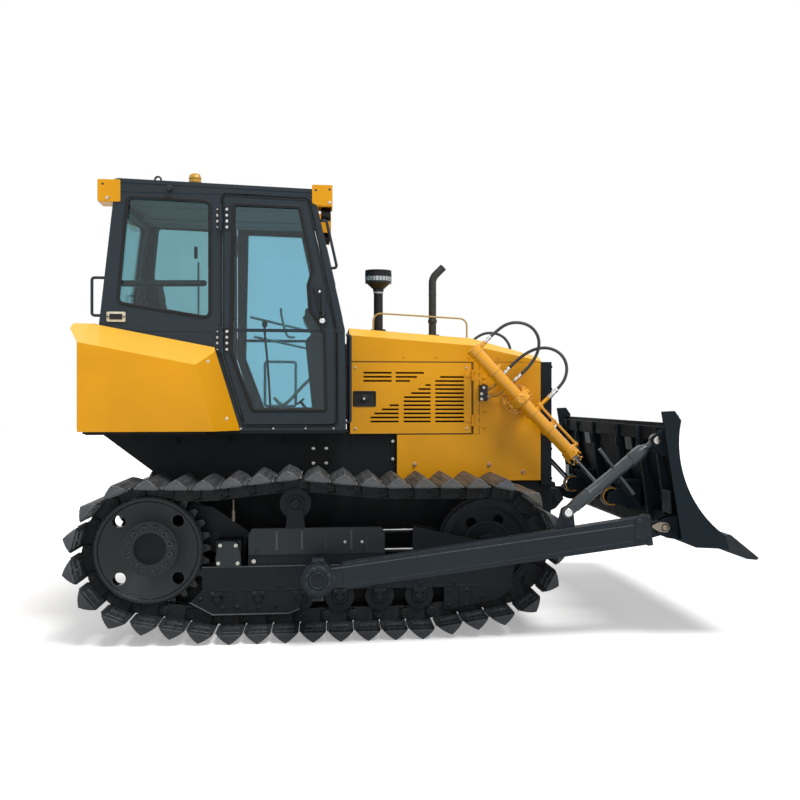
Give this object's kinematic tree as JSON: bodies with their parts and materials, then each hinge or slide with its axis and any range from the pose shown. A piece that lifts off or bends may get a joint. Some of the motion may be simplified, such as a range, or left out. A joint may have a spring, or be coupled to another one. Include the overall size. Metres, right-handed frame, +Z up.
{
  "type": "crawler bulldozer",
  "caption": "Wide-track crawler bulldozer with an enclosed cab, straight blade on outside push arms, two lift cylinders and a screw brace.",
  "frame": {"origin": "on the ground, in the middle of the machine's length and width", "axes": "+X forward to the blade, +Y to the machine's left, +Z up"},
  "size_m": [4.873, 3.6, 3.4225],
  "materials": {
    "yellow_paint": "satin",
    "cab_paint": "satin",
    "chassis_paint": "satin",
    "blade_paint": "satin",
    "track_steel": "worn",
    "running_gear_paint": "satin",
    "bright_steel": "brushed",
    "chrome": "polished",
    "exhaust_steel": "dull",
    "glass": "clear",
    "hose_rubber": "matte",
    "seat_fabric": "woven",
    "black_plastic": "matte",
    "amber_plastic": "gloss",
    "lamp_plastic": "gloss"
  },
  "bodies": {
    "machine": {"hull": "chassis_paint", "engine_block": "chassis_paint", "deck": "chassis_paint", "drawbar": "chassis_paint", "tow_hook": "chassis_paint", "hood": "yellow_paint", "hood_bulkhead": "chassis_paint", "side_panels": "yellow_paint", "radiator_guard": "chassis_paint", "hood_rail": "yellow_paint", "pre_cleaner": "black_plastic", "exhaust_pipe": "exhaust_steel", "cab_frame": "cab_paint", "cab_roof": "cab_paint", "cab_glass": "glass", "seat_base": "black_plastic", "seat_cushion": "seat_fabric", "seat_back": "seat_fabric", "controls": "black_plastic", "fenders": "yellow_paint", "fuel_tank": "yellow_paint", "grab_rails": "cab_paint", "lamp_guards": "yellow_paint", "work_lamps": "lamp_plastic", "beacon": "amber_plastic", "roof_eyes": "cab_paint", "track_right": "track_steel", "track_left": "track_steel", "sprockets": "running_gear_paint", "idlers": "running_gear_paint", "track_rollers": "running_gear_paint", "track_frames": "running_gear_paint", "final_drives": "running_gear_paint", "lift_mounts": "yellow_paint", "fixed_pipes": "blade_paint", "hose_head_right": "hose_rubber", "hose_head_left": "hose_rubber", "hose_rod_right": "hose_rubber", "hose_rod_left": "hose_rubber"},
    "blade_frame": {"blade": "blade_paint", "cutting_edge": "bright_steel", "push_arm_right": "blade_paint", "push_arm_left": "blade_paint", "brace": "blade_paint", "tilt_cylinder": "blade_paint"},
    "lift_barrel_right": {"lift_barrel_right": "yellow_paint"},
    "lift_barrel_left": {"lift_barrel_left": "yellow_paint"},
    "lift_rod_right": {"lift_rod_right": "chrome"},
    "lift_rod_left": {"lift_rod_left": "chrome"},
    "cab_door_right": {"cab_door_right": "cab_paint", "door_glass_right": "glass"},
    "cab_door_left": {"cab_door_left": "cab_paint", "door_glass_left": "glass"},
    "engine_door_right": {"engine_door_right": "yellow_paint"},
    "engine_door_left": {"engine_door_left": "yellow_paint"}
  },
  "joints": [
    {"name": "blade_lift", "type": "hinge", "parent": "machine", "child": "blade_frame", "pos_m": [-0.6565, 0, 0.469], "axis": [0, -1, 0], "range_deg": [-19.2, 5.5]},
    {"name": "lift_barrel_swing_right", "type": "hinge", "parent": "machine", "child": "lift_barrel_right", "pos_m": [0.9095, -0.7, 1.7], "axis": [0, -1, 0], "range_deg": [-19.2, 5.5], "deforming": ["hose_head_right", "hose_rod_right"]},
    {"name": "lift_rod_slide_right", "type": "slide", "parent": "lift_barrel_right", "child": "lift_rod_right", "axis": [0.689, 0, -0.7248], "range_m": [-0.2, 0.68]},
    {"name": "lift_barrel_swing_left", "type": "hinge", "parent": "machine", "child": "lift_barrel_left", "pos_m": [0.9095, 0.7, 1.7], "axis": [0, -1, 0], "range_deg": [-19.2, 5.5], "deforming": ["hose_head_left", "hose_rod_left"]},
    {"name": "lift_rod_slide_left", "type": "slide", "parent": "lift_barrel_left", "child": "lift_rod_left", "axis": [0.689, 0, -0.7248], "range_m": [-0.2, 0.68]},
    {"name": "cab_door_swing_right", "type": "hinge", "parent": "machine", "child": "cab_door_right", "pos_m": [-1.3785, -0.804, 2.36], "axis": [0, 0, -1], "range_deg": [0, 70]},
    {"name": "engine_door_swing_right", "type": "hinge", "parent": "machine", "child": "engine_door_right", "pos_m": [0.5565, -0.541, 1.71], "axis": [0, 0, 1], "range_deg": [0, 48]},
    {"name": "cab_door_swing_left", "type": "hinge", "parent": "machine", "child": "cab_door_left", "pos_m": [-1.3785, 0.804, 2.36], "axis": [0, 0, 1], "range_deg": [0, 70]},
    {"name": "engine_door_swing_left", "type": "hinge", "parent": "machine", "child": "engine_door_left", "pos_m": [0.5565, 0.541, 1.71], "axis": [0, 0, -1], "range_deg": [0, 48]}
  ],
  "couplings": [
    {"joint": "lift_barrel_swing_right", "follows": "blade_lift", "ratio": 0.977},
    {"joint": "lift_rod_slide_right", "follows": "blade_lift", "m_per_rad": -1.975},
    {"joint": "lift_barrel_swing_left", "follows": "blade_lift", "ratio": 0.977},
    {"joint": "lift_rod_slide_left", "follows": "blade_lift", "m_per_rad": -1.975}
  ]
}
